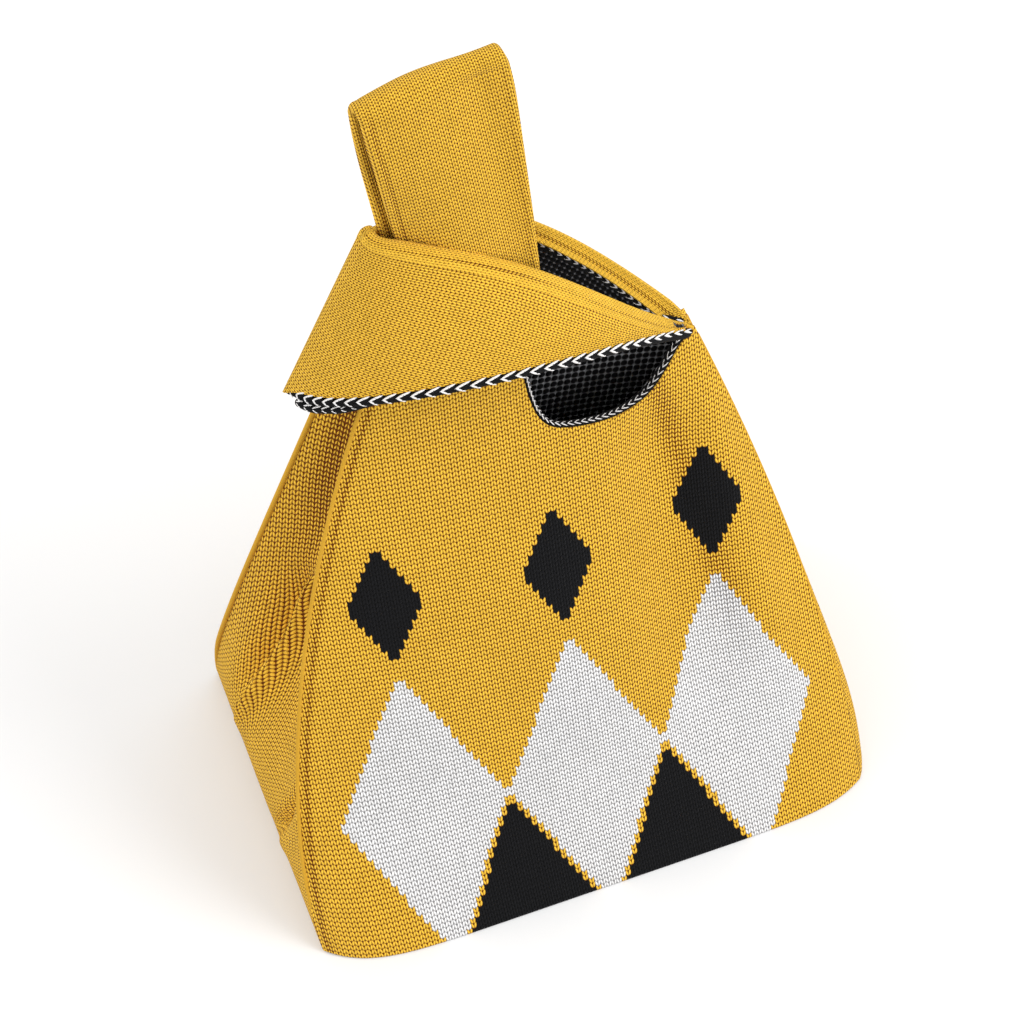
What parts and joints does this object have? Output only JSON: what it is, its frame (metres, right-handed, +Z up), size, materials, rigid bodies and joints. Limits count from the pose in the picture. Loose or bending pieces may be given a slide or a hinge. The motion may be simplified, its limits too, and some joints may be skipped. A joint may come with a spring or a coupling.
{
  "type": "knitted wrist tote bag",
  "caption": "Soft knitted wrist bag with a flat base, bellows sides, a wide short loop wrapped like a collar and a long handle drawn up through it.",
  "frame": {"origin": "middle of the base, on the surface that the bag stands on", "axes": "+X to the right along the bag's width, -Y to the front, +Z up through the handle"},
  "size_m": [0.2301, 0.154, 0.3467],
  "materials": {
    "mustard_knit": "matte",
    "dotted_knit": "matte",
    "braid": "matte"
  },
  "bodies": {
    "pouch": {"base_panel": "mustard_knit", "base_lining": "dotted_knit", "front_panel": "mustard_knit", "front_lining": "dotted_knit", "back_panel": "mustard_knit", "back_lining": "dotted_knit", "left_gusset": "mustard_knit", "left_gusset_lining": "dotted_knit", "right_gusset": "mustard_knit", "right_gusset_lining": "dotted_knit", "front_left_seam": "mustard_knit", "front_right_seam": "mustard_knit", "back_left_seam": "mustard_knit", "back_right_seam": "mustard_knit", "front_neckline_braid": "braid", "back_neckline_braid": "braid", "short_loop_back": "mustard_knit", "short_loop_back_lining": "dotted_knit", "short_loop_back_hem": "mustard_knit", "short_loop_back_braid": "braid"},
    "loop_flap": {"short_loop_front": "mustard_knit", "short_loop_front_lining": "dotted_knit", "short_loop_front_hem": "mustard_knit", "short_loop_front_braid": "braid"},
    "handle_root": {"handle_front_root": "mustard_knit", "handle_back_root": "mustard_knit"},
    "handle": {"handle_strap": "mustard_knit", "handle_lining": "mustard_knit", "handle_left_hem": "mustard_knit", "handle_right_hem": "mustard_knit"}
  },
  "joints": [
    {"name": "flap_lift", "type": "hinge", "parent": "pouch", "child": "loop_flap", "pos_m": [-0.00175, -0.0125, 0.2615], "axis": [-0.8063, 0, 0.5915], "range_deg": [0, 30]},
    {"name": "handle_draw", "type": "slide", "parent": "pouch", "child": "handle_root", "axis": [-0.1736, 0, 0.9848], "range_m": [0, 0.015]},
    {"name": "handle_swing", "type": "hinge", "parent": "handle_root", "child": "handle", "pos_m": [-0.02867, 0, 0.30163], "axis": [0.9848, 0, 0.1736], "range_deg": [-55, 55]}
  ]
}
